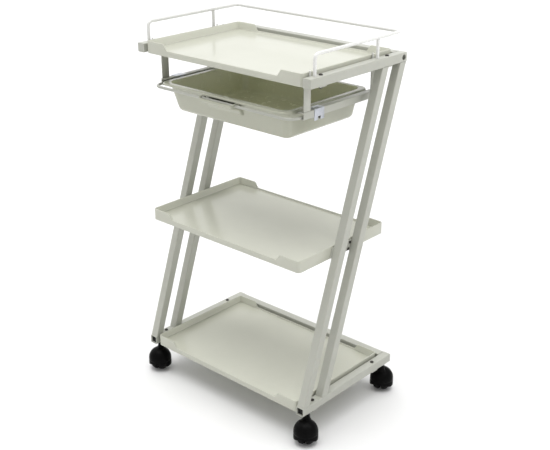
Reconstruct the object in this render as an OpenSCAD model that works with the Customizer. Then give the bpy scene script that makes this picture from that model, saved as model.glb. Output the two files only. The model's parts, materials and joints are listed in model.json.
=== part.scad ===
// Rolling salon trolley: tube frame, three moulded trays, one drawer, four twin-wheel castors.
// Units are millimetres. +Z is up, the front is -Y, the floor is z = 0.

/* [Overall] */
// Width over the side rails
frame_width = 500; // [480:5:540]
// Height of the underside of the top rails above the floor
top_rail_z = 805; // [780:5:830]
// Height of the underside of the bottom rails above the floor
bottom_rail_z = 74; // [74:1:80]
// Height of the underside of the middle tray above the floor
middle_tray_z = 410; // [330:5:480]

/* [Frame tube] */
// Outer size of the square tube
tube = 20; // [20:1:22]
// Wall thickness of the square tube
tube_wall = 1.5; // [1.2:0.1:1.8]
// Outer corner radius of the square tube
tube_corner = 2; // [1.5:0.25:2.5]
// Horizontal distance between the two legs of one side
leg_pitch = 62; // [58:1:66]

/* [Trays] */
// Height of the tray wall
tray_height = 27; // [24:1:30]
// Thickness of the tray walls
tray_wall = 3; // [2.5:0.5:3.5]
// Height of the low lip along the front and back edges
tray_lip = 13; // [12:0.5:16]
// Radius of the tray corners in plan
tray_corner = 8; // [5:1:12]

/* [Drawer] */
// Depth of the drawer tub under its rim
tub_depth = 66.5; // [50:0.5:75]
// Wall thickness of the drawer tub
tub_wall = 2.5; // [2:0.25:3]

/* [Gallery] */
// Diameter of the gallery rod
gallery_rod = 7; // [6:0.5:8]
// Height of the gallery rod's centre above the top of the side rails
gallery_height = 43.5; // [30:0.5:60]

/* [Castors] */
// Swivel angle of the front right castor, 0 points to the front
castor_angle_fr = 33; // [-180:1:180]
// Swivel angle of the front left castor
castor_angle_fl = 25; // [-180:1:180]
// Swivel angle of the rear right castor
castor_angle_rr = -155; // [-180:1:180]
// Swivel angle of the rear left castor
castor_angle_rl = -147; // [-180:1:180]
// Distance from the swivel axis to the wheel axis
castor_trail = 10; // [10:0.5:12]
// Outer radius of the castor hood
hood_radius = 28; // [28:0.25:29]

/* [Hidden] */
$fn = 48;
e = 0.01;

// colours, for the preview only
frame_colour = [0.80, 0.80, 0.77];
tray_colour = [0.88, 0.88, 0.82];
rod_colour = [0.95, 0.95, 0.95];
zinc_colour = [0.66, 0.70, 0.76];
screw_colour = [0.25, 0.24, 0.22];
steel_colour = [0.60, 0.60, 0.62];
black_colour = [0.08, 0.08, 0.08];

// side rails
rail_x1 = frame_width / 2;
rail_x0 = rail_x1 - tube;
rail_mid = rail_x1 - tube / 2;
top_y0 = -158;
top_y1 = 158;
bot_y0 = -170;
bot_y1 = 150;
top_rail_top = top_rail_z + tube;
bot_rail_top = bottom_rail_z + tube;
inner = tube - 2 * tube_wall;
cap = 1;
plug_recess = 4;
plug_length = 6;

// fasteners through the rails
screw_r = 2.5;
screw_hole = 2.8;
head_r = 4.4;
head_h = 2.6;
nut_h = 4;
top_screw_y = [-118, 100];
bot_screw_y = [-127.5, 90.5];
cross_bolt_head = 4;
cross_hole = 6;

// legs
leg_foot_y = -168.5;
leg_head_y = 157.5;
leg_rise = top_rail_z - bot_rail_top;
leg_run = leg_head_y - leg_pitch - leg_foot_y;
leg_angle = acos(tube / norm([leg_run, leg_rise])) - atan2(leg_rise, leg_run);
leg_length = (leg_rise + 3 * tube) / cos(leg_angle);

// trays
tray_half = rail_x0 - 4;
tray_depth = 292;
tray_floor_z = 6;
tray_floor = 3;
tray_side = 53;
tray_ramp = 14;
top_tray_y = -9;
middle_tray_y = -14;
bottom_tray_y = -19;

// shelf brackets
bracket_t = 4;
bracket_z0 = middle_tray_z + 2;
bracket_z1 = middle_tray_z + 24;
bracket_screw = [[4.2, middle_tray_z + 20], [-1.6, middle_tray_z + 6]];

// drawer hangers, runners and clips
strip_t = 2;
strip_w = 20;
strip_x0 = rail_x0 - 23;
front_strip_y = -118;
rear_strip_y = 100;
runner_x0 = rail_x0 - 35;
runner_size = 15;
runner_wall = 1.5;
runner_x1 = runner_x0 + runner_size;
runner_z1 = top_rail_z - 59.5;
runner_z0 = runner_z1 - runner_size;
runner_y0 = -130;
runner_y1 = 112;
clip_y0 = -98;
clip_y1 = -68;
clip_t = 1.5;
clip_z0 = runner_z1 - 22.5;
clip_screw_y = -83;
clip_screw_z = runner_z0 - 3;

// drawer
wire_r = 3;
wire_x = runner_x0 + 8;
wire_y0 = -158.5;
wire_y1 = 115;
wire_z = runner_z0 + runner_wall + wire_r + 0.3;
wire_bend = 22;
rim_x = runner_x0 - 7.5;
rim_y0 = -157;
rim_y1 = 115;
rim_z1 = runner_z1;
rim_t = 2;
rim_lip_z = wire_z + wire_r + 0.3;
rim_corner = 22;
tub_top_x = rim_x - 11.5;
tub_bot_x = rim_x - 23.5;
tub_top_y0 = -144;
tub_top_y1 = 104;
tub_bot_y0 = -126;
tub_bot_y1 = 94;
tub_z0 = rim_z1 - tub_depth;
tub_fillet = 8;
handle_half = 49;
handle_y = -171;
handle_t = 3;
tub_slope = (tub_bot_y0 - tub_top_y0) / tub_depth;

// gallery
gal_z = top_rail_top + gallery_height;
gal_r = gallery_rod / 2;
gal_bend = 10;
gal_y0 = -134;
gal_post_y = 67;
gal_y1 = 147;
peg_r = 1.8;

// castors
wheel_r = 25;
axle_z = 25;
axle_r = 3;
running = 0.05;
stem_r = 5;
neck_r = 7.5;
hood_z = 30;
hood_skirt = 13;
arch_top = 22;
arch_r = 40;
web_z0 = 16;
hood_wall = 1.5;
web_t = 5;
wheel_x0 = 3.5;
wheel_x1 = 18;
wheel_ball = 25.7;
stem_top = bottom_rail_z + 12;
stem_bottom = 52;
neck_top = bottom_rail_z - 3.3;
castor_x = rail_mid;
front_stem_y = -147;
rear_stem_y = 130;

// the origin is under the middle of the box that holds the whole trolley
reach_front = max(castor_trail * cos(castor_angle_fr), castor_trail * cos(castor_angle_fl));
reach_rear = max(-castor_trail * cos(castor_angle_rr), -castor_trail * cos(castor_angle_rl));
box_y0 = front_stem_y - reach_front - hood_radius;
box_y1 = rear_stem_y + reach_rear + hood_radius;
centre_y = -(box_y0 + box_y1) / 2;

module place() {
  translate([0, centre_y, 0]) children();
}

module side(s) {
  if (s > 0) children();
  else mirror([1, 0, 0]) children();
}

module box(x0, x1, y0, y1, z0, z1) {
  translate([x0, y0, z0]) cube([x1 - x0, y1 - y0, z1 - z0]);
}

module round_rect(w, d, r) {
  square([w - 2 * r, d], center = true);
  square([w, d - 2 * r], center = true);
  for (sx = [-1, 1], sy = [-1, 1])
    translate([sx * (w / 2 - r), sy * (d / 2 - r)]) circle(r);
}

module tube_profile() {
  difference() {
    round_rect(tube, tube, tube_corner);
    round_rect(inner, inner, tube_corner * 0.4);
  }
}

module tube_y(x, z, y0, y1) {
  translate([x, y1, z]) rotate([90, 0, 0]) linear_extrude(y1 - y0) tube_profile();
}

module tube_x(y, z, x0, x1) {
  translate([x0, y, z]) rotate([0, 90, 0]) linear_extrude(x1 - x0) tube_profile();
}

module rod_z(x, y, z0, z1, r) {
  translate([x, y, z0]) cylinder(r = r, h = z1 - z0);
}

module rod_y(x, z, y0, y1, r) {
  translate([x, y1, z]) rotate([90, 0, 0]) cylinder(r = r, h = y1 - y0);
}

module rod_x(y, z, x0, x1, r) {
  translate([x0, y, z]) rotate([0, 90, 0]) cylinder(r = r, h = x1 - x0);
}

// side rails

module rail_top(s) {
  color(frame_colour) place() side(s) difference() {
    tube_y(rail_mid, top_rail_z + tube / 2, top_y0 + cap, top_y1 - cap);
    for (y = top_screw_y) rod_z(rail_mid, y, top_rail_z - 1, top_rail_top + 1, screw_hole);
    rod_x(top_y1 - tube / 2, top_rail_z + tube / 2, rail_mid, rail_x1 + 1, cross_hole);
    rod_x(top_y1 - tube / 2, top_rail_z + tube / 2, rail_x0 - 1, rail_mid, screw_hole);
  }
}

module rail_bottom(s) {
  color(frame_colour) place() side(s) difference() {
    tube_y(rail_mid, bottom_rail_z + tube / 2, bot_y0, bot_y1);
    for (y = bot_screw_y) rod_z(rail_mid, y, bottom_rail_z - 1, bot_rail_top + 1, screw_hole);
    for (y = [front_stem_y, rear_stem_y])
      rod_z(rail_mid, y, bottom_rail_z - 1, bottom_rail_z + tube / 2, stem_r + 0.3);
  }
}

module rail_top_l() { rail_top(-1); }
module rail_top_r() { rail_top(1); }
module rail_bottom_l() { rail_bottom(-1); }
module rail_bottom_r() { rail_bottom(1); }

// legs: square tube leaning back, cut level top and bottom

module leg(s, y) {
  color(frame_colour) place() side(s) intersection() {
    translate([rail_mid, y + tube / 2 / cos(leg_angle), bot_rail_top])
      rotate([-leg_angle, 0, 0])
        translate([0, 0, -tube]) linear_extrude(leg_length) tube_profile();
    box(rail_x0 - 1, rail_x1 + 1, top_y0 - 60, top_y1 + 60, bot_rail_top, top_rail_z);
  }
}

module leg_front_l() { leg(-1, leg_foot_y); }
module leg_front_r() { leg(1, leg_foot_y); }
module leg_rear_l() { leg(-1, leg_foot_y + leg_pitch); }
module leg_rear_r() { leg(1, leg_foot_y + leg_pitch); }

// rear cross tubes; the top one has threaded end blocks

module cross_top() {
  y = top_y1 - tube / 2;
  z = top_rail_z + tube / 2;
  color(frame_colour) place() union() {
    tube_x(y, z, -rail_x0, rail_x0);
    for (s = [-1, 1]) side(s) difference() {
      box(rail_x0 - 16, rail_x0, y - inner / 2, y + inner / 2, z - inner / 2, z + inner / 2);
      rod_x(y, z, rail_x0 - 17, rail_x0 + 1, screw_hole);
    }
  }
}

module cross_bottom() {
  color(frame_colour) place()
    tube_x(bot_y1 - tube / 2, bottom_rail_z + tube / 2, -rail_x0, rail_x0);
}

module caps_top() {
  z = top_rail_z + tube / 2;
  c = inner / 2 - 0.35;
  color(frame_colour) place() for (s = [-1, 1]) side(s) {
    translate([rail_mid, top_y0 + cap, z]) rotate([90, 0, 0])
      linear_extrude(cap) round_rect(tube, tube, tube_corner);
    box(rail_mid - c, rail_mid + c, top_y0 + cap / 2, top_y0 + 9, z - c, z + c);
    translate([rail_mid, top_y1, z]) rotate([90, 0, 0])
      linear_extrude(cap) round_rect(tube, tube, tube_corner);
    box(rail_mid - c, rail_mid + c, top_y1 - 4, top_y1 - cap / 2, z - c, z + c);
  }
}

module plugs_bottom() {
  z = bottom_rail_z + tube / 2;
  c = inner / 2 - 0.35;
  color(black_colour) place() for (s = [-1, 1]) side(s) {
    box(rail_mid - c, rail_mid + c, bot_y0 + plug_recess, bot_y0 + plug_recess + plug_length,
      z - c, z + c);
    box(rail_mid - c, rail_mid + c, bot_y1 - plug_recess - plug_length, bot_y1 - plug_recess,
      z - c, z + c);
  }
}

module bolts_cross() {
  y = top_y1 - tube / 2;
  z = top_rail_z + tube / 2;
  x = rail_x0 + tube_wall;
  color(screw_colour) place() for (s = [-1, 1]) side(s) {
    rod_x(y, z, rail_x0 - 12, x + e, screw_r);
    rod_x(y, z, x, x + cross_bolt_head, cross_hole - 0.4);
  }
}

module pan_head(x, y, z) {
  translate([x, y, z]) intersection() {
    cylinder(r = head_r, h = head_h);
    translate([0, 0, head_h - 6]) sphere(r = 6);
  }
}

module rail_screw(y, z_top, z_bottom) {
  pan_head(rail_mid, y, z_top);
  rod_z(rail_mid, y, z_bottom - nut_h - 1, z_top + e, screw_r);
  translate([rail_mid, y, z_bottom - nut_h]) cylinder(r = 4.6, h = nut_h, $fn = 6);
}

module screws_rail() {
  color(screw_colour) place() for (s = [-1, 1]) side(s) {
    for (y = top_screw_y) rail_screw(y, top_rail_top, top_rail_z - strip_t);
    for (y = bot_screw_y) rail_screw(y, bot_rail_top, bottom_rail_z - strip_t);
  }
}

// gallery rail round the top tray, open at the front

module elbow(r_bend, r) {
  rotate_extrude(angle = 90) translate([r_bend, 0]) circle(r);
}

module gallery() {
  b = gal_bend;
  color(rod_colour) place() for (s = [-1, 1]) side(s) {
    rod_z(rail_mid, gal_y0, top_rail_top, gal_z - b, gal_r);
    translate([rail_mid, gal_y0 + b, gal_z - b]) rotate([90, 0, -90]) elbow(b, gal_r);
    rod_y(rail_mid, gal_z, gal_y0 + b, gal_y1 - b, gal_r);
    translate([rail_mid - b, gal_y1 - b, gal_z]) elbow(b, gal_r);
    rod_x(gal_y1, gal_z, 0, rail_mid - b, gal_r);
  }
}

module gallery_posts() {
  color(rod_colour) place() for (s = [-1, 1]) side(s)
    rod_z(rail_mid, gal_post_y, top_rail_top, gal_z - gal_r, gal_r);
}

module pegs() {
  color(rod_colour) place() for (s = [-1, 1], y = [gal_y0, gal_post_y]) side(s)
    rod_z(rail_x0 - 2, y, top_rail_z + 8, top_rail_z + tray_height + 3, peg_r);
}

// trays: floor plate, full walls at the ends, low lips front and back

module tray(y, z) {
  w = 2 * tray_half;
  t = 2 * tray_wall;
  x1 = tray_half - tray_side;
  x0 = x1 - tray_ramp;
  color(tray_colour) place() translate([0, y, z]) difference() {
    linear_extrude(tray_height) round_rect(w, tray_depth, tray_corner);
    translate([0, 0, tray_floor_z + tray_floor])
      linear_extrude(tray_height) round_rect(w - t, tray_depth - t, tray_corner - 2);
    translate([0, 0, -1]) linear_extrude(tray_floor_z + 1)
      round_rect(w - t, tray_depth - t, tray_corner - 2);
    translate([0, tray_depth, 0]) rotate([90, 0, 0]) linear_extrude(2 * tray_depth)
      polygon([[-x0, tray_lip], [x0, tray_lip], [x1, tray_height], [x1, tray_height + 1],
        [-x1, tray_height + 1], [-x1, tray_height]]);
  }
}

module tray_top() { tray(top_tray_y, top_rail_z); }
module tray_middle() { tray(middle_tray_y, middle_tray_z); }
module tray_bottom() { tray(bottom_tray_y, bottom_rail_z); }

module tray_lugs() {
  z1 = bottom_rail_z;
  color(frame_colour) place() for (s = [-1, 1], y = bot_screw_y) side(s) difference() {
    box(strip_x0, rail_x1 - 1, y - strip_w / 2, y + strip_w / 2, z1 - strip_t, z1);
    rod_z(rail_mid, y, z1 - strip_t - 1, z1 + 1, screw_hole);
  }
}

// drawer hangers: a plate under the top rail and a strip down to the runner; the rear plates
// stop short of the front legs

module hanger(s, y) {
  z1 = top_rail_z;
  head = leg_head_y - leg_pitch + 0.4;
  color(frame_colour) place() side(s) {
    difference() {
      box(strip_x0, rail_x1 - 1, y - strip_w / 2, y + strip_w / 2, z1 - strip_t, z1);
      rod_z(rail_mid, y, z1 - strip_t - 1, z1 + 1, screw_hole);
      if (y > 0) box(rail_x0 - 0.5, rail_x1, y - strip_w, head, z1 - strip_t - 1, z1 + 1);
    }
    box(strip_x0, strip_x0 + strip_t, y - strip_w / 2, y + strip_w / 2, runner_z1,
      z1 - strip_t + e);
  }
}

module hanger_fl() { hanger(-1, front_strip_y); }
module hanger_fr() { hanger(1, front_strip_y); }
module hanger_rl() { hanger(-1, rear_strip_y); }
module hanger_rr() { hanger(1, rear_strip_y); }

module runner(s) {
  color(frame_colour) place() side(s) difference() {
    box(runner_x0, runner_x1, runner_y0, runner_y1, runner_z0, runner_z1);
    box(runner_x0 - 1, runner_x1 - runner_wall, runner_y0 - 1, runner_y1 + 1,
      runner_z0 + runner_wall, runner_z1 - runner_wall);
  }
}

module runner_l() { runner(-1); }
module runner_r() { runner(1); }

// zinc clip over the runner: two lobes outside, a narrow tongue inside that stops the drawer

module clip(s) {
  x0 = runner_x0 - clip_t;
  x1 = runner_x1 + clip_t;
  color(zinc_colour) place() side(s) {
    box(x0, x1, clip_y0, clip_y1, runner_z1, runner_z1 + clip_t);
    difference() {
      box(runner_x1, x1, clip_y0, clip_y1, clip_z0, runner_z1 + e);
      box(runner_x1 - 1, x1 + 1, clip_screw_y - 4.5, clip_screw_y + 4.5, clip_z0 - 1, runner_z0);
    }
    difference() {
      box(x0, runner_x0, clip_screw_y - 6, clip_screw_y + 6, clip_z0, runner_z1 + e);
      rod_x(clip_screw_y, clip_screw_z, x0 - 1, runner_x0 + 1, 1.9);
    }
  }
}

module clip_l() { clip(-1); }
module clip_r() { clip(1); }

module clip_screws() {
  x0 = runner_x0 - clip_t;
  color(screw_colour) place() for (s = [-1, 1]) side(s) {
    rod_x(clip_screw_y, clip_screw_z, x0 - 1, runner_x1 + clip_t, 1.6);
    rod_x(clip_screw_y, clip_screw_z, runner_x1 - 1, runner_x1 + clip_t + 0.8, 2.7);
  }
}

// flat bar welded across the inner faces of the two legs, screwed to the middle tray

function leg_y(z) = leg_foot_y + (z - bot_rail_top) * tan(leg_angle);

module bracket(s) {
  span = leg_pitch + tube / cos(leg_angle);
  color(frame_colour) place() side(s) difference() {
    translate([rail_x0 - bracket_t, 0, 0]) rotate([90, 0, 90]) linear_extrude(bracket_t)
      polygon([[leg_y(bracket_z0), bracket_z0], [leg_y(bracket_z0) + span, bracket_z0],
        [leg_y(bracket_z1) + span, bracket_z1], [leg_y(bracket_z1), bracket_z1]]);
    for (p = bracket_screw)
      rod_x(p[0], p[1], rail_x0 - bracket_t - 1, rail_x0 + 1, 2.3);
  }
}

module bracket_l() { bracket(-1); }
module bracket_r() { bracket(1); }

module bracket_screws() {
  color(screw_colour) place() for (s = [-1, 1], p = bracket_screw) side(s) {
    rod_x(p[0], p[1], rail_x0 - bracket_t, rail_x0 + 0.5, 2);
    rod_x(p[0], p[1], rail_x0, rail_x0 + 2.2, 3.3);
  }
}

// drawer: one bent ring of wire that slides in the runners, and a moulded tub that hangs in it

module drawer_wire() {
  b = wire_bend;
  color(rod_colour) place() for (s = [-1, 1]) side(s) {
    rod_y(wire_x, wire_z, wire_y0 + b, wire_y1 - b, wire_r);
    translate([wire_x - b, wire_y1 - b, wire_z]) elbow(b, wire_r);
    translate([wire_x - b, wire_y0 + b, wire_z]) rotate([0, 0, -90]) elbow(b, wire_r);
    rod_x(wire_y0, wire_z, 0, wire_x - b, wire_r);
    rod_x(wire_y1, wire_z, 0, wire_x - b, wire_r);
  }
}

module plate(x, y0, y1, r, z) {
  translate([0, (y0 + y1) / 2, z]) linear_extrude(e) round_rect(2 * x, y1 - y0, r);
}

module tub_solid(t, z0, z1) {
  r = 14;
  f = tub_fillet;
  k = (tub_top_x - tub_bot_x) / tub_depth;
  kr = (tub_top_y1 - tub_bot_y1) / tub_depth;
  hull() {
    plate(tub_top_x - t, tub_top_y0 + t, tub_top_y1 - t, r + 4 - t / 2, z1 - e);
    plate(tub_bot_x - t + f * k, tub_bot_y0 + t - f * tub_slope, tub_bot_y1 - t + f * kr, r, z0 + f);
    plate(tub_bot_x - t - f * 0.7, tub_bot_y0 + t + f * 0.7, tub_bot_y1 - t - f * 0.7, r - 4, z0);
  }
}

module drawer_tub() {
  rim_d = rim_y1 - rim_y0;
  rim_m = (rim_y0 + rim_y1) / 2;
  front = tub_top_y0;
  color(tray_colour) place() difference() {
    union() {
      tub_solid(0, tub_z0, rim_z1);
      translate([0, rim_m, rim_z1 - rim_t]) linear_extrude(rim_t)
        round_rect(2 * rim_x, rim_d, rim_corner);
      difference() {
        translate([0, rim_m, rim_lip_z]) linear_extrude(rim_z1 - rim_t - rim_lip_z + e)
          round_rect(2 * rim_x, rim_d, rim_corner);
        translate([0, rim_m, rim_lip_z - 1]) linear_extrude(rim_z1 - rim_lip_z)
          round_rect(2 * rim_x - 5, rim_d - 5, rim_corner - 2.5);
      }
      // the pull: a lip that turns up in front of the wire, with an arm over the wire at each end
      translate([-handle_half, 0, 0]) rotate([90, 0, 90]) linear_extrude(2 * handle_half)
        polygon([[front + 8, wire_z - 4], [handle_y + handle_t, wire_z - 4],
          [handle_y + handle_t, wire_z + 2.7], [handle_y, wire_z + 2.7], [handle_y, wire_z - 4],
          [handle_y + 5, wire_z - 7], [front - 6, wire_z - 9], [front - 1.5, wire_z - 14],
          [front + 2, wire_z - 21], [front + 8, wire_z - 21]]);
      for (s = [-1, 1]) side(s) {
        box(handle_half - 5, handle_half, handle_y, rim_y0 + 1, rim_lip_z, rim_lip_z + 2.4);
        box(handle_half - 5, handle_half, handle_y, handle_y + handle_t, wire_z, rim_lip_z + e);
      }
    }
    tub_solid(tub_wall, tub_z0 + tub_wall, rim_z1 + 0.5);
  }
}

// castors

module castor(x, y, a) {
  place() translate([x, y, 0]) rotate([0, 0, a]) children();
}

module stem(x, y) {
  color(steel_colour) castor(x, y, 0) {
    rod_z(0, 0, stem_bottom, stem_top, stem_r);
    rod_z(0, 0, bottom_rail_z - 3, bottom_rail_z, neck_r);
    rod_z(0, 0, bottom_rail_z + tube_wall, bottom_rail_z + tube_wall + 5, neck_r);
  }
}

module dome_half(r, z0) {
  intersection() {
    translate([0, hood_z]) circle(r = r, $fn = 64);
    translate([0, hood_z]) square([r + 1, r + 1]);
  }
  translate([0, z0]) square([r, hood_z - z0]);
}

module hood(x, y, a) {
  color(black_colour) castor(x, y, a) difference() {
    union() {
      difference() {
        translate([0, -castor_trail, 0]) rotate_extrude($fn = 64) difference() {
          dome_half(hood_radius, hood_skirt);
          dome_half(hood_radius - hood_wall, hood_skirt - 1);
        }
        rod_y(0, arch_top - arch_r, -castor_trail - 40, 40, arch_r);
      }
      intersection() {
        translate([0, -castor_trail, 0]) rotate_extrude($fn = 64)
          dome_half(hood_radius - hood_wall / 2, web_z0);
        box(-web_t / 2, web_t / 2, -castor_trail - 40, 40, web_z0 - 1, hood_z + 40);
      }
      rod_z(0, 0, stem_bottom - 1, neck_top, neck_r);
    }
    rod_z(0, 0, stem_bottom - 0.5, neck_top + 1, stem_r + running);
    rod_x(-castor_trail, axle_z, -web_t, web_t, axle_r);
  }
}

module axle(x, y, a) {
  color(steel_colour) castor(x, y, a)
    rod_x(-castor_trail, axle_z, -wheel_x1 + 3, wheel_x1 - 3, axle_r);
}

module wheel(x, y, a, s) {
  color(black_colour) castor(x, y, a) side(s) difference() {
    intersection() {
      rod_x(-castor_trail, axle_z, wheel_x0, wheel_x1, wheel_r);
      translate([0, -castor_trail, axle_z]) rotate([0, 90, 0]) sphere(r = wheel_ball, $fn = 64);
    }
    rod_x(-castor_trail, axle_z, wheel_x0 - 1, wheel_x1 - 2.7, axle_r + running);
  }
}

module stem_fl() { stem(-castor_x, front_stem_y); }
module stem_fr() { stem(castor_x, front_stem_y); }
module stem_rl() { stem(-castor_x, rear_stem_y); }
module stem_rr() { stem(castor_x, rear_stem_y); }
module hood_fl() { hood(-castor_x, front_stem_y, castor_angle_fl); }
module hood_fr() { hood(castor_x, front_stem_y, castor_angle_fr); }
module hood_rl() { hood(-castor_x, rear_stem_y, castor_angle_rl); }
module hood_rr() { hood(castor_x, rear_stem_y, castor_angle_rr); }
module axle_fl() { axle(-castor_x, front_stem_y, castor_angle_fl); }
module axle_fr() { axle(castor_x, front_stem_y, castor_angle_fr); }
module axle_rl() { axle(-castor_x, rear_stem_y, castor_angle_rl); }
module axle_rr() { axle(castor_x, rear_stem_y, castor_angle_rr); }
module wheel_fl_a() { wheel(-castor_x, front_stem_y, castor_angle_fl, 1); }
module wheel_fl_b() { wheel(-castor_x, front_stem_y, castor_angle_fl, -1); }
module wheel_fr_a() { wheel(castor_x, front_stem_y, castor_angle_fr, 1); }
module wheel_fr_b() { wheel(castor_x, front_stem_y, castor_angle_fr, -1); }
module wheel_rl_a() { wheel(-castor_x, rear_stem_y, castor_angle_rl, 1); }
module wheel_rl_b() { wheel(-castor_x, rear_stem_y, castor_angle_rl, -1); }
module wheel_rr_a() { wheel(castor_x, rear_stem_y, castor_angle_rr, 1); }
module wheel_rr_b() { wheel(castor_x, rear_stem_y, castor_angle_rr, -1); }

rail_top_l();
rail_top_r();
rail_bottom_l();
rail_bottom_r();
leg_front_l();
leg_front_r();
leg_rear_l();
leg_rear_r();
cross_top();
cross_bottom();
caps_top();
plugs_bottom();
bolts_cross();
screws_rail();
gallery();
gallery_posts();
pegs();
tray_top();
tray_middle();
tray_bottom();
tray_lugs();
hanger_fl();
hanger_fr();
hanger_rl();
hanger_rr();
runner_l();
runner_r();
clip_l();
clip_r();
clip_screws();
bracket_l();
bracket_r();
bracket_screws();
drawer_wire();
drawer_tub();
stem_fl();
stem_fr();
stem_rl();
stem_rr();
hood_fl();
hood_fr();
hood_rl();
hood_rr();
axle_fl();
axle_fr();
axle_rl();
axle_rr();
wheel_fl_a();
wheel_fl_b();
wheel_fr_a();
wheel_fr_b();
wheel_rl_a();
wheel_rl_b();
wheel_rr_a();
wheel_rr_b();
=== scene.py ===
import json
import math

import bmesh
import bpy
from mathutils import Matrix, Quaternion, Vector


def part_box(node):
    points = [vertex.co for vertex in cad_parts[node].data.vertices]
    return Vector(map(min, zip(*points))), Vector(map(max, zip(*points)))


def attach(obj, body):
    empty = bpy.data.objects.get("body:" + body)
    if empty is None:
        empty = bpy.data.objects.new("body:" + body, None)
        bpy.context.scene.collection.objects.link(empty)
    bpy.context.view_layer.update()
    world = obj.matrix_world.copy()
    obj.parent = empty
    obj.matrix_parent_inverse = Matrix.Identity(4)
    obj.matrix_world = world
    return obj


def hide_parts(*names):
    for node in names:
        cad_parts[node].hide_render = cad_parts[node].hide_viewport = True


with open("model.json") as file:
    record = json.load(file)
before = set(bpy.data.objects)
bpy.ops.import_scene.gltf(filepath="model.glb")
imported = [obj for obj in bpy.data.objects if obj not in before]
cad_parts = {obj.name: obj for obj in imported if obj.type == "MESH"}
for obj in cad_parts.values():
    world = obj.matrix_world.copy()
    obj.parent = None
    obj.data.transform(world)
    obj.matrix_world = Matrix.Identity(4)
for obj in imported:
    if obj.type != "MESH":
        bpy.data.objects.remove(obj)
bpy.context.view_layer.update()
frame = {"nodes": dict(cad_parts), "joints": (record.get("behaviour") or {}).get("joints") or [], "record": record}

MM = 0.001
UP = Vector((0, 0, 1))
nodes = frame["nodes"]
joints = {joint["name"]: joint for joint in frame["joints"]}


# ---------------------------------------------------------------- materials

MIX_FACTOR, MIX_A, MIX_B, MIX_RESULT = 0, 6, 7, 2    # colour sockets of the Mix node
NOISE_LOW, NOISE_HIGH = 0.3, 0.7                     # the range that most of the noise lies in


def principled(name):
    """A new material, its node tree and its shader node."""
    material = bpy.data.materials.new(name)
    material.use_nodes = True
    tree = material.node_tree
    return material, tree, tree.nodes["Principled BSDF"]


def position(tree):
    return tree.nodes.new("ShaderNodeTexCoord").outputs["Object"]


def noise(tree, place, scale, detail=3.0, rough=0.5):
    node = tree.nodes.new("ShaderNodeTexNoise")
    node.inputs["Scale"].default_value = scale
    node.inputs["Detail"].default_value = detail
    node.inputs["Roughness"].default_value = rough
    tree.links.new(place, node.inputs["Vector"])
    return node.outputs["Fac"]


def ramp(tree, factor, dark, light):
    """Two colours, blended over the noise's usual range."""
    node = tree.nodes.new("ShaderNodeValToRGB")
    stops = node.color_ramp.elements
    for stop, place, colour in zip(stops, (NOISE_LOW, NOISE_HIGH), (dark, light)):
        stop.position = place
        stop.color = (*colour, 1)
    tree.links.new(factor, node.inputs["Fac"])
    return node.outputs["Color"]


def spread(tree, factor, low, high):
    """Noise turned into values between low and high."""
    node = tree.nodes.new("ShaderNodeMapRange")
    node.inputs["From Min"].default_value = NOISE_LOW
    node.inputs["From Max"].default_value = NOISE_HIGH
    node.inputs["To Min"].default_value = low
    node.inputs["To Max"].default_value = high
    tree.links.new(factor, node.inputs["Value"])
    return node.outputs["Result"]


def bump(tree, shader, height, strength, distance):
    node = tree.nodes.new("ShaderNodeBump")
    node.inputs["Strength"].default_value = strength
    node.inputs["Distance"].default_value = distance
    tree.links.new(height, node.inputs["Height"])
    tree.links.new(node.outputs["Normal"], shader.inputs["Normal"])


def mixed(tree, factor, base, tint):
    """The base colour, turned towards a fixed tint."""
    node = tree.nodes.new("ShaderNodeMix")
    node.data_type = "RGBA"
    tree.links.new(factor, node.inputs[MIX_FACTOR])
    tree.links.new(base, node.inputs[MIX_A])
    node.inputs[MIX_B].default_value = (*tint, 1)
    return node.outputs[MIX_RESULT]


def surface(name, light, dark, rough, grain, relief,
            cloud=9.0, metallic=0.0, coat=0.0, strength=0.3, specular=0.5):
    """Noise-mottled colour, uneven gloss and a fine bump, all from position.

    cloud and grain are the scales of the mottling and of the bump; relief is the bump's height
    in metres.
    """
    material, tree, shader = principled(name)
    place = position(tree)
    big = noise(tree, place, cloud, 3, 0.55)
    middle = noise(tree, place, cloud * 11, 4, 0.6)
    fine = noise(tree, place, grain, 4, 0.6)
    colour = mixed(tree, spread(tree, middle, 0.0, 0.5), ramp(tree, big, dark, light), dark)
    tree.links.new(colour, shader.inputs["Base Color"])
    tree.links.new(spread(tree, middle, *rough), shader.inputs["Roughness"])
    bump(tree, shader, fine, strength, relief)
    shader.inputs["Metallic"].default_value = metallic
    shader.inputs["Coat Weight"].default_value = coat
    shader.inputs["Coat Roughness"].default_value = 0.12
    shader.inputs["Specular IOR Level"].default_value = specular
    return material


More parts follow.
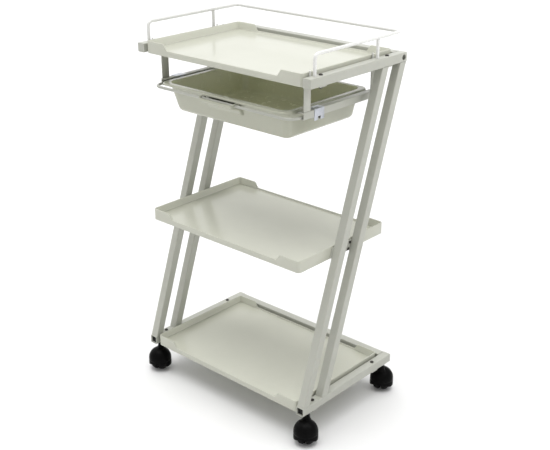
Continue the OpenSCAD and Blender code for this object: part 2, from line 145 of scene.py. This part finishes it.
SURFACES = {
    "frame_paint": dict(light=(0.45, 0.455, 0.405), dark=(0.41, 0.415, 0.365), rough=(0.30, 0.42),
                        grain=1100, relief=0.00006, strength=0.35),
    "rod_paint": dict(light=(0.76, 0.76, 0.74), dark=(0.70, 0.70, 0.68), rough=(0.20, 0.32),
                      grain=1400, relief=0.00004),
    # painted shade: the drawer's wire is darkened to grey for the shadow it lies in under the tub's rim
    "wire_paint": dict(light=(0.43, 0.435, 0.39), dark=(0.38, 0.385, 0.345), rough=(0.34, 0.44),
                       grain=1400, relief=0.00002, metallic=0.2),
    "tray_plastic": dict(light=(0.53, 0.535, 0.46), dark=(0.50, 0.505, 0.43), rough=(0.17, 0.21),
                         grain=500, relief=0.00002, cloud=5, specular=0.35),
    # painted light: a lighter copy of the tray plastic for the trays' inner walls, standing in for light coming
    # through the thin walls
    "tray_wall": dict(light=(0.72, 0.725, 0.64), dark=(0.69, 0.695, 0.61), rough=(0.17, 0.21),
                      grain=500, relief=0.00002, cloud=5, specular=0.35),
    "tub_plastic": dict(light=(0.42, 0.425, 0.345), dark=(0.39, 0.395, 0.315), rough=(0.16, 0.25),
                        grain=500, relief=0.00002, cloud=6, coat=0.1),
    # painted light: a lighter, yellower copy of the tub plastic for the tub's inside, standing in for light
    # through its thin walls and bouncing inside
    "tub_inside_painted_light": dict(light=(0.73, 0.74, 0.53), dark=(0.69, 0.70, 0.50), rough=(0.2, 0.3),
                       grain=500, relief=0.00002, cloud=6),
    "zinc": dict(light=(0.58, 0.60, 0.65), dark=(0.46, 0.48, 0.52), rough=(0.24, 0.42),
                 grain=1500, relief=0.00003, cloud=60, metallic=1.0),
    "dark_screw": dict(light=(0.10, 0.095, 0.09), dark=(0.05, 0.047, 0.044), rough=(0.3, 0.5),
                       grain=2500, relief=0.00003, cloud=200, metallic=1.0),
    "steel": dict(light=(0.40, 0.40, 0.42), dark=(0.30, 0.30, 0.32), rough=(0.22, 0.36),
                  grain=2500, relief=0.00002, cloud=120, metallic=1.0),
    "plug_plastic": dict(light=(0.012,) * 3, dark=(0.007,) * 3, rough=(0.5, 0.65),
                         grain=1500, relief=0.00006, cloud=80, specular=0.2),
    "hood_plastic": dict(light=(0.005,) * 3, dark=(0.003,) * 3, rough=(0.26, 0.38),
                         grain=1200, relief=0.00003, cloud=40, specular=0.04),
    "wheel_plastic": dict(light=(0.006,) * 3, dark=(0.004,) * 3, rough=(0.4, 0.55),
                          grain=1500, relief=0.00006, cloud=60, specular=0.06),
}
MATERIALS = {name: surface(name, **look) for name, look in SURFACES.items()}

# the CAD pieces wear their slot's material; the drawer's wire is painted greyer than its slot, as painted shade
# for the shadow under the tub's rim
slots = {part["node"]: part["material_slot"] for part in frame["record"]["subparts"]}
slots["drawer_wire"] = "wire_paint"
for name, node in nodes.items():
    node.data.materials.clear()
    node.data.materials.append(MATERIALS[slots[name]])


# ---------------------------------------------------------------- mesh helpers

def lerp(a, b, t):
    return a + (b - a) * t


def smooth(t):
    t = min(1.0, max(0.0, t))
    return t * t * (3 - 2 * t)


def arc(degrees, steps):
    """Angles in radians from 0 to a number of degrees, both ends included."""
    return [math.radians(degrees * i / steps) for i in range(steps + 1)]


def basis(axis):
    """Two directions across an axis, and the axis itself, all of unit length."""
    axis = Vector(axis).normalized()
    u = axis.orthogonal().normalized()
    return u, axis.cross(u), axis


def piece(name, bm, slot, body, node, angle=40, second=()):
    """Turns a mesh into an object on a body, in place of a CAD node.

    Edges sharper than the angle, in degrees, stay sharp. second names any further materials.
    """
    bmesh.ops.recalc_face_normals(bm, faces=bm.faces)
    mesh = bpy.data.meshes.new(name)
    bm.to_mesh(mesh)
    bm.free()
    mesh.polygons.foreach_set("use_smooth", [True] * len(mesh.polygons))
    mesh.set_sharp_from_angle(angle=math.radians(angle))
    o = bpy.data.objects.new(name, mesh)
    bpy.context.scene.collection.objects.link(o)
    for key in (slot, *second):
        mesh.materials.append(MATERIALS[key])
    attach(o, body)
    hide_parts(node)


def skin(bm, rings, cap_first=True, cap_last=True, second=()):
    """Faces between neighbouring rings; those after a ring in second get the second material."""
    rows = [[bm.verts.new(point) for point in ring] for ring in rings]
    count = len(rows[0])
    for k, (a, b) in enumerate(zip(rows, rows[1:])):
        for i in range(count):
            j = (i + 1) % count
            bm.faces.new((a[i], a[j], b[j], b[i])).material_index = int(k in second)
    if cap_first:
        bm.faces.new(rows[0])
    if cap_last:
        bm.faces.new(rows[-1]).material_index = int(len(rows) - 1 in second)
    return rows


def corner_loop(x0, x1, y0, y1, radius, steps, xs, ys):
    """Counter-clockwise rounded rectangle; xs and ys are fractions along each straight side."""
    points = []
    corners = [(x1 - radius, y0 + radius, -90), (x1 - radius, y1 - radius, 0),
               (x0 + radius, y1 - radius, 90), (x0 + radius, y0 + radius, 180)]
    for k, (cx, cy, start) in enumerate(corners):
        for i in range(steps + 1):
            a = math.radians(start + 90 * i / steps)
            points.append((cx + radius * math.cos(a), cy + radius * math.sin(a)))
        here = points[-1]
        cx, cy, start = corners[(k + 1) % 4]
        a = math.radians(start)
        there = (cx + radius * math.cos(a), cy + radius * math.sin(a))
        for t in (ys if k in (0, 2) else xs):
            points.append((lerp(here[0], there[0], t), lerp(here[1], there[1], t)))
    return points


def revolve(bm, origin, axis, profile, sides=32, cap_first=True, cap_last=True, spin=0.0):
    """Turns a profile of (radius, height along the axis) pairs in mm; origin is in metres."""
    u, v, axis = basis(axis)
    angles = [spin + 2 * math.pi * i / sides for i in range(sides)]
    return skin(bm, [[Vector(origin) + (u * math.cos(a) + v * math.sin(a)) * radius * MM
                      + axis * height * MM for a in angles] for radius, height in profile],
                cap_first, cap_last)


# ---------------------------------------------------------------- trays

def tray(node):
    """A tray: its wall drops to a low lip along the middle of the front and of the back."""
    lo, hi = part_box(node)
    cx, cy = (lo.x + hi.x) / 2 / MM, (lo.y + hi.y) / 2 / MM
    half_x, half_y = (hi.x - lo.x) / 2 / MM, (hi.y - lo.y) / 2 / MM
    bottom, height = lo.z / MM, (hi.z - lo.z) / MM
    corner, floor_z, lip = 8.0, 9.0, 13.0
    lip_end, slope = 159, 14.0                # half the lip's length, and the slope beside it
    run = 2 * (half_x - corner)
    marks = [173, 172, 171, 169.5, 168, 166, 164, 162.5, 161, 160, lip_end]
    xs = sorted([0.5 - m / run for m in marks] + [0.5 + m / run for m in marks]
                + [0.25, 0.375, 0.5, 0.625, 0.75])

    def ring(inset, z, from_top):
        """A loop inside the outline; z counts from the wall's top or from the tray's bottom."""
        points = corner_loop(cx - half_x + inset, cx + half_x - inset, cy - half_y + inset,
                             cy + half_y - inset, corner - inset, 6, xs, [0.25, 0.5, 0.75])
        out = []
        for x, y in points:
            top = lerp(lip, height, smooth((abs(x - cx) - lip_end) / slope))
            out.append(Vector((x * MM, y * MM, (bottom + (top + z if from_top else z)) * MM)))
        return out

    underside = [(5.5, 6), (3.4, 6), (3.0, 5.6), (3.0, 0.7),
                 (2.4, 0), (0.8, 0), (0.2, 0.2), (0, 0.8)]
    wall_top = [(0, -1.6), (0.2, -0.75), (0.75, -0.2), (1.5, 0), (2.25, -0.2), (2.8, -0.75)]
    inner_wall = [(3.0, floor_z + 2.4), (3.25, floor_z + 1.2), (4.0, floor_z + 0.4)]
    rings = [ring(inset, z, False) for inset, z in underside]
    rings += [ring(inset, z, True) for inset, z in wall_top]
    first_inner = len(rings) - 1
    rings.append(ring(3.0, -1.5, True))
    rings += [ring(inset, z, False) for inset, z in inner_wall]
    rings += [ring(inset, floor_z, False) for inset in (5.4, 6.4)]
    bm = bmesh.new()
    # the inner walls wear a lighter copy of the plastic: painted light for light coming through the thin walls
    skin(bm, rings, second=range(first_inner, first_inner + len(inner_wall)))
    piece(node + "_moulding", bm, "tray_plastic", "frame", node, second=("tray_wall",))


for name in ("tray_top", "tray_middle", "tray_bottom"):
    tray(name)


# ---------------------------------------------------------------- drawer tub

def tub():
    """The drawer: a tub with a rolled rim, and a pull with a lip in front of the wire."""
    lo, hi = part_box("drawer_tub")
    rim_x, rim_front, rim_back = hi.x / MM, -157.0, 115.0
    y_off = hi.y / MM - rim_back              # from the numbers here to the model's y
    bottom, top = lo.z / MM, hi.z / MM
    lip_z = top - 6.9                         # lower edge of the rim
    thick = 2.5

    def loop(x, y0, y1, radius, z):
        points = corner_loop(-x, x, y0 + y_off, y1 + y_off, radius, 10,
                             [i / 12 for i in range(1, 12)], [i / 8 for i in range(1, 8)])
        return [Vector((px * MM, py * MM, z * MM)) for px, py in points]

    def rim(inset, radius, z):
        """A loop inside the rim's outline."""
        return loop(rim_x - inset, rim_front + inset, rim_back - inset, radius, z)

    def lifted(ring):
        """The rim's edge is shorter along the front, which leaves a gap over the wire."""
        for point in ring:
            point.z += 2.6 * MM * smooth((-144.0 + y_off - point.y / MM) / 10.0)
        return ring

    def wall(z, inset):
        """Half width, front, back and corner radius of the wall, which leans out going up."""
        u = (z - bottom) / (top - bottom)
        return (lerp(164, 176, u) - inset, lerp(-126, -144, u) + inset,
                lerp(94, 104, u) - inset, lerp(15, 18, u) - inset * 0.5)

    def beside(wall_z, inset, out, more_radius, z):
        """A loop at z, further out than the wall is at wall_z."""
        x, y0, y1, radius = wall(wall_z, inset)
        return loop(x + out, y0 - out, y1 + out, radius + more_radius, z)

    def bottom_bend(floor_z, inset, bend, share):
        """Loops up the rounded edge between the floor and the wall."""
        out = []
        for a in arc(90, 6):
            z, gap = floor_z + bend * (1 - math.cos(a)), bend * (1 - math.sin(a))
            out.append(beside(z, inset, -gap, -gap * share, z))
        return out

    rings = bottom_bend(bottom, 0, 9.0, 0.6)
    rings.append(beside(top - 4.2, 0, 0, 0, top - 4.2))
    rings.append(beside(top - 2.4, 0, 0.4, 0, top - 2.6))
    rings.append(beside(top - 2.4, 0, 2.0, 0.6, top - 2.0))
    rings.append(rim(4.0, 18.5, top - 2.0))
    rings.append(rim(2.6, 19.6, top - 2.8))
    rings.append(lifted(rim(2.4, 19.8, lip_z + 0.3)))
    rings.append(lifted(rim(1.9, 20.2, lip_z)))
    rings.append(lifted(rim(0.5, 21.6, lip_z)))
    rings.append(lifted(rim(0, 22, lip_z + 0.5)))
    roll = 2.8
    for a in (0, 20, 40, 60, 80):
        cosine, sine = math.cos(math.radians(a)), math.sin(math.radians(a))
        inset = roll * (1 - cosine)
        rings.append(rim(inset, 22 - inset, top - roll + roll * sine))
    rings.append(rim(3.4, 18.8, top))
    rings.append(beside(top, thick, 2.6, 1.6, top))
    first_inside = len(rings)
    for a in (15, 35, 55, 75, 90):
        cosine, sine = math.cos(math.radians(a)), math.sin(math.radians(a))
        z, out = top - 2.2 * (1 - cosine), 2.4 * (1 - sine)
        rings.append(beside(z, thick, out, out * 0.6, z))
    rings += reversed(bottom_bend(bottom + thick, thick, 8.0, 0.5))
    bm = bmesh.new()
    # the inside faces wear a lighter, yellower copy of the plastic: painted light
    skin(bm, rings, second=range(first_inside, len(rings)))

    # the pull: a pad on the front wall that runs out under the wire and turns up in front of it
    wire_z = lip_z - 3.3
    half_pull, end_bend, root = 49.0, 2.5, 1.2

    def front(z):
        return wall(z, 0)[1]

    pad = [(root, -24.6), (-3.6, -24), (-6.6, -22.8), (-7.8, -21), (-8.2, -14), (-9.4, -11.5)]
    lip = [(-152, -9.8), (-156, -8.8), (-162, -7.2), (-166.5, -6.2), (-169.6, -4.4), (-171, -1.8),
           (-171, 1.6), (-170.4, 2.5), (-169.6, 2.7), (-167.8, 2.7), (-167.0, 2.3), (-166.7, -1.6),
           (-166.0, -3.2), (-164.4, -3.9), (-150, -3.9)]
    profile = [(front(wire_z + z) + y, wire_z + z) for y, z in pad]
    profile += [(y, wire_z + z) for y, z in lip]
    profile.append((front(wire_z - 4) + root, wire_z - 3.9))
    ends = [0.95, 0.97, 0.985, 0.995, 1]
    rings = []
    for u in [-e for e in reversed(ends)] + [i / 10 for i in range(-9, 10)] + ends:
        x = half_pull * u
        from_end = min(half_pull - abs(x), end_bend) / end_bend
        full = 0.25 + 0.75 * math.sqrt(1 - (1 - from_end) ** 2)
        rings.append([Vector((x * MM, (lerp(front(z) + root, y, full) + y_off) * MM, z * MM))
                      for y, z in profile])
    skin(bm, rings)

    # an arm over the wire at each end of the pull
    path = [(50.2, -154.0, 1.6), (50.2, -158.5, 1.6), (50.0, -162.5, 1.4), (49.2, -166.0, 0.9),
            (47.4, -168.6, 0.0), (44.6, -169.7, -0.8), (41.0, -169.8, -1.2), (36.0, -169.8, -1.5)]
    path = [Vector((x, y, lip_z + z)) for x, y, z in path]
    arm_radius, sides = 1.2, 16
    for side in (-1, 1):
        rings = []
        for i, centre in enumerate(path):
            along = (path[min(i + 1, len(path) - 1)] - path[max(i - 1, 0)]).normalized()
            n = along.cross(UP).normalized()
            v = n.cross(along)
            row = []
            for a in [2 * math.pi * q / sides for q in range(sides)]:
                p = centre + n * arm_radius * math.cos(a) + v * arm_radius * math.sin(a)
                row.append(Vector((p.x * side * MM, (p.y + y_off) * MM, p.z * MM)))
            rings.append(row)
        skin(bm, rings)

    # a small moulding mark in the middle of the front rim
    mark = ((-3.5, -150.5), (3.5, -150.5), (3.5, -145.5), (-3.5, -145.5))
    skin(bm, [[Vector(((shift + x) * MM, (y + y_off) * MM, (top + z) * MM)) for x, y in mark]
              for shift, z in ((0, -0.6), (0, 0.5), (0.3, 0.8))])
    piece("drawer_tub_moulding", bm, "tub_plastic", "drawer", "drawer_tub", second=("tub_inside_painted_light",))


tub()


# ---------------------------------------------------------------- fasteners

def cross_head(bm, origin, axis, radius, height, spin):
    """A pan head with a cross recess."""
    u, v, axis = basis(axis)
    u, v = u * math.cos(spin) + v * math.sin(spin), v * math.cos(spin) - u * math.sin(spin)
    dome = [(0.97, 0), (1.0, 0.12), (1.0, 0.4), (0.95, 0.66),
            (0.84, 0.86), (0.7, 0.96), (0.58, 1.0)]
    sides = 32
    rim = revolve(bm, origin, axis, [(radius * k, height * z) for k, z in dome], sides,
                  cap_last=False, spin=spin)[-1]
    a, b = radius * 0.13, radius * 0.5
    cross = [(b, -a), (b, a), (a, a), (a, b), (-a, b), (-a, a),
             (-b, a), (-b, -a), (-a, -a), (-a, -b), (a, -b), (a, -a)]

    def outline(scale, share):
        """The cross, drawn to a scale and at a share of the head's height."""
        middle = Vector(origin) + axis * height * share * MM
        return [bm.verts.new(middle + (u * x + v * y) * scale * MM) for x, y in cross]

    upper, lower = outline(1.0, 1.0), outline(0.8, 0.35)
    after = list(range(1, len(cross))) + [0]
    edges = [bm.edges.new((upper[i], upper[j])) for i, j in enumerate(after)]
    edges += [bm.edges.get((rim[i], rim[(i + 1) % sides])) for i in range(sides)]
    bmesh.ops.triangle_fill(bm, edges=edges, use_beauty=True)
    for i, j in enumerate(after):
        bm.faces.new((upper[i], upper[j], lower[j], lower[i]))
    bm.faces.new(lower)


def rail_screws():
    """Screws down through the side rails, into the hangers above and the tray's lugs below."""
    shank, nut, down = 2.5, 4.6, (0, 0, -1)
    bm = bmesh.new()
    count = 0
    for rail, strip in (("rail_top", "hanger_f"), ("rail_top", "hanger_r"), ("rail_bottom", None)):
        for side in "lr":
            lo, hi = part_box(f"{rail}_{side}")
            x = (lo.x + hi.x) / 2
            if strip:
                ys = [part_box(strip + side)[0].y + (0.010 if strip == "hanger_r" else 0.012)]
                under = lo.z - 0.002
            else:
                lug_lo, lug_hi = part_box("tray_lugs")
                ys = [lug_lo.y + 0.010, lug_hi.y - 0.010]
                under = lug_lo.z
            length = (hi.z - under) / MM
            for y in ys:
                count += 1
                cross_head(bm, (x, y, hi.z), UP, 4.4, 2.5, 0.4 * count)
                revolve(bm, (x, y, hi.z), down,
                        [(shank, -0.3), (shank, length + 4.2), (2.0, length + 4.9)], 20)
                revolve(bm, (x, y, under), down,
                        [(4.2, 0), (nut, 0.3), (nut, 3.6), (4.1, 4.0), (2.6, 4.0)],
                        6, spin=0.3 * count)
    piece("screws_rail_heads", bm, "dark_screw", "frame", "screws_rail", 30)


rail_screws()


def islands(mesh):
    """The boxes of a mesh's loose parts: x from and to, middle y and z, and half height."""
    bm = bmesh.new()
    bm.from_mesh(mesh)
    bmesh.ops.remove_doubles(bm, verts=bm.verts, dist=1e-6)
    left = set(bm.verts)
    boxes = []
    while left:
        stack = [left.pop()]
        group = set(stack)
        while stack:
            for edge in stack.pop().link_edges:
                for vert in edge.verts:
                    if vert in left:
                        left.discard(vert)
                        group.add(vert)
                        stack.append(vert)
        xs, ys, zs = zip(*(vert.co for vert in group))
        boxes.append((min(xs), max(xs), (min(ys) + max(ys)) / 2, (min(zs) + max(zs)) / 2,
                      (max(zs) - min(zs)) / 2))
    bm.free()
    return sorted(boxes)


def side_screws(node, head):
    """Screws of the shelf brackets and of the clips, which point in from the sides."""
    bm = bmesh.new()
    for k, (x0, x1, y, z, radius) in enumerate(islands(nodes[node].data)):
        out = 1 if x0 + x1 > 0 else -1
        face, tail = (x1, x0) if out > 0 else (x0, x1)
        shank = abs(face - tail) / MM - head
        foot = (face - out * head * MM, y, z)
        cross_head(bm, foot, (out, 0, 0), radius / MM, head, 0.5 + k)
        revolve(bm, foot, (-out, 0, 0), [(1.5, -0.2), (1.5, shank - 0.3), (1.2, shank)], 20)
    piece(node + "_heads", bm, "dark_screw", "frame", node, 30)


side_screws("bracket_screws", 1.6)
side_screws("clip_screws", 0.8)


# ---------------------------------------------------------------- castors

AXLE_Z = 30.0


def castor(key):
    """Stem position, axle position and axle direction."""
    roll = joints[f"roll_{key}_a"]
    return Vector(joints["swivel_" + key]["pos_m"]), Vector(roll["pos_m"]), Vector(roll["axis"])


def hood(key):
    """The shell over the two wheels, the web between them and the neck."""
    stem, axle, across = castor(key)
    base = Vector((axle.x, axle.y, 0))
    along = Vector((-across.y, across.x, 0))
    radius, skirt, thick = 28.0, 13.0, 1.5
    inside = radius - thick
    arch_radius, arch_top = 40.0, 22.0
    sides = 96
    angles = [2 * math.pi * i / sides for i in range(sides)]

    def ring(r, z):
        """A circle at one height."""
        return [base + (across * math.cos(a) + along * math.sin(a)) * r * MM + UP * z * MM
                for a in angles]

    def foot_ring(r, z):
        """A circle z over the lower edge: level at the sides, arched at the front and back."""
        out = []
        for a, point in zip(angles, ring(r, 0)):
            x = radius * math.cos(a)
            arch = arch_top - arch_radius + math.sqrt(arch_radius ** 2 - x ** 2)
            out.append(point + UP * (max(skirt, arch) + z) * MM)
        return out

    outer = [ring(inside, AXLE_Z), ring(inside, 26.0)]
    outer += [foot_ring(r, z) for r, z in ((inside, 0.5), (inside + 0.4, 0), (radius - 0.4, 0),
                                           (radius, 0.5), (radius, 1.6))]
    outer += [ring(r, z) for r, z in ((radius, 25.5), (radius - 0.35, 26.0), (radius - 0.35, 26.6),
                                      (radius, 27.1), (radius, AXLE_Z))]
    outer += [ring(radius * math.cos(a), AXLE_Z + radius * math.sin(a)) for a in arc(90, 25)[1:-1]]
    inner = [ring(inside, AXLE_Z)]
    inner += [ring(inside * math.cos(a), AXLE_Z + inside * math.sin(a)) for a in arc(90, 13)[1:-1]]
    bm = bmesh.new()
    skin(bm, outer, cap_first=False)
    skin(bm, inner, cap_first=False)

    # the web between the wheels, which holds the axle
    web, half_web, web_bottom = radius - 0.8, 2.5, 16.0
    outline = [(web * math.cos(a), AXLE_Z + web * math.sin(a)) for a in arc(180, 32)]
    outline += [(-web, web_bottom), (web, web_bottom)]
    skin(bm, [[base + along * y * MM + UP * z * MM + across * half_web * side * MM
               for y, z in outline] for side in (-1, 1)])

    # the neck, flared into the dome, with a bearing ring at its top
    revolve(bm, (stem.x, stem.y, 0), UP,
            [(5.4, 51), (7.0, 51), (11.5, 52.5), (9.6, 55.5), (8.3, 58), (7.5, 61.5), (7.5, 66.2),
             (7.2, 66.6), (7.2, 67.2), (7.5, 67.6), (7.5, 70.2), (7.1, 70.7), (5.4, 70.7)], 48)
    piece(f"hood_{key}_shell", bm, "hood_plastic", "castor_" + key, "hood_" + key, 35)


def wheel(key, side):
    """One of the twin wheels: grooved tread, domed outer face with a hub cap."""
    _, axle, across = castor(key)
    profile = [(3.05, 3.6), (8.0, 3.6), (8.6, 4.4), (19.5, 4.4), (20.2, 3.6), (24.0, 3.6),
               (24.8, 4.2), (25.0, 5.0), (24.9, 8.0), (24.45, 8.25), (24.45, 8.75), (24.6, 9.0),
               (24.0, 11.5), (23.3, 11.7), (23.2, 12.2), (23.4, 12.5), (22.0, 14.6), (20.4, 16.4),
               (18.4, 17.6), (16.0, 18.0), (14.5, 17.8), (13.6, 16.9), (9.0, 16.6), (8.2, 17.4),
               (7.0, 17.8), (4.0, 18.0), (0.4, 18.0)]
    bm = bmesh.new()
    revolve(bm, axle, across * (1 if side == "a" else -1), profile, 72, cap_first=False)
    piece(f"wheel_{key}_{side}_tyre", bm, "wheel_plastic", f"wheel_{key}_{side}_body",
          f"wheel_{key}_{side}", 35)


for key in ("fl", "fr", "rl", "rr"):
    hood(key)
    wheel(key, "a")
    wheel(key, "b")


# ---------------------------------------------------------------- sheet and tube parts

def softened(node, slot, width):
    """A copy of a CAD piece with its edges rounded by width mm."""
    bm = bmesh.new()
    bm.from_mesh(nodes[node].data)
    bmesh.ops.remove_doubles(bm, verts=bm.verts, dist=1e-6)
    bmesh.ops.dissolve_limit(bm, angle_limit=math.radians(1.0), verts=bm.verts, edges=bm.edges)
    sharp = math.radians(25)
    edges = [edge for edge in bm.edges
             if len(edge.link_faces) == 2 and edge.calc_face_angle(0) > sharp]
    bmesh.ops.bevel(bm, geom=edges, offset=width * MM, offset_type="OFFSET", segments=2,
                    profile=0.5, affect="EDGES", clamp_overlap=True)
    piece(node + "_part", bm, slot, "frame", node, 35)


for side in "lr":
    softened("runner_" + side, "frame_paint", 0.45)
    softened("clip_" + side, "zinc", 0.4)
    softened("bracket_" + side, "frame_paint", 0.6)
    softened("hanger_f" + side, "frame_paint", 0.45)
    softened("hanger_r" + side, "frame_paint", 0.45)
softened("tray_lugs", "frame_paint", 0.4)


# ---------------------------------------------------------------- stage, light, camera

HALF_FLOOR = 30
floor_mesh = bpy.data.meshes.new("floor")
floor_mesh.from_pydata([(x * HALF_FLOOR, y * HALF_FLOOR, 0)
                        for x, y in ((-1, -1), (1, -1), (1, 1), (-1, 1))], [], [(0, 1, 2, 3)])
floor = bpy.data.objects.new("floor", floor_mesh)
bpy.context.scene.collection.objects.link(floor)
floor_paint, floor_tree, floor_shader = principled("floor_paint")
floor_tree.links.new(ramp(floor_tree, noise(floor_tree, position(floor_tree), 2.0),
                          (0.79,) * 3, (0.81,) * 3), floor_shader.inputs["Base Color"])
floor_shader.inputs["Roughness"].default_value = 0.9
floor_shader.inputs["Specular IOR Level"].default_value = 0.1
floor_mesh.materials.append(floor_paint)

world = bpy.data.worlds.new("studio")
world.use_nodes = True
background = world.node_tree.nodes["Background"]
background.inputs["Color"].default_value = (1, 1, 1, 1)
background.inputs["Strength"].default_value = 0.6
bpy.context.scene.world = world


def lamp(name, kind, shines, energy):
    """A light that shines along a direction."""
    data = bpy.data.lights.new(name, kind)
    data.energy = energy
    o = bpy.data.objects.new(name, data)
    o.rotation_mode = "QUATERNION"
    o.rotation_quaternion = shines.to_track_quat("-Z", "Y")
    bpy.context.scene.collection.objects.link(o)
    return o


# where each sun stands, its strength, and how wide it looks in degrees
for name, direction, strength, width in (("overhead", (0, -0.08, 1.0), 2.1, 50),
                                         ("left", (-1, -0.1, 0.8), 0.6, 60),
                                         ("backdrop", (-0.67, 0.74, 0.42), 0.7, 70)):
    lamp(name, "SUN", -Vector(direction), strength).data.angle = math.radians(width)

key_from, key_to = Vector((1.1, 0.25, 1.35)), Vector((0, 0, 0.75))
key_light = lamp("key", "AREA", key_to - key_from, 3.6)
key_light.location = key_from
key_light.data.shape = "DISK"
key_light.data.size = 0.6

# the camera stands where the photograph was taken from
azimuth, down, roll = math.radians(42.19), math.radians(22.81), math.radians(-0.18)
look = Vector((-math.sin(azimuth) * math.cos(down), math.cos(azimuth) * math.cos(down),
               -math.sin(down)))
camera_data = bpy.data.cameras.new("camera")
camera_data.lens = 63.96
camera_data.sensor_width = 36
camera = bpy.data.objects.new("camera", camera_data)
camera.location = (1.41713, -1.53896, 1.28951)
camera.rotation_mode = "QUATERNION"
camera.rotation_quaternion = look.to_track_quat("-Z", "Y") @ Quaternion((0, 0, 1), roll)
bpy.context.scene.collection.objects.link(camera)
bpy.context.scene.camera = camera
bpy.context.scene.view_settings.view_transform = "Standard"
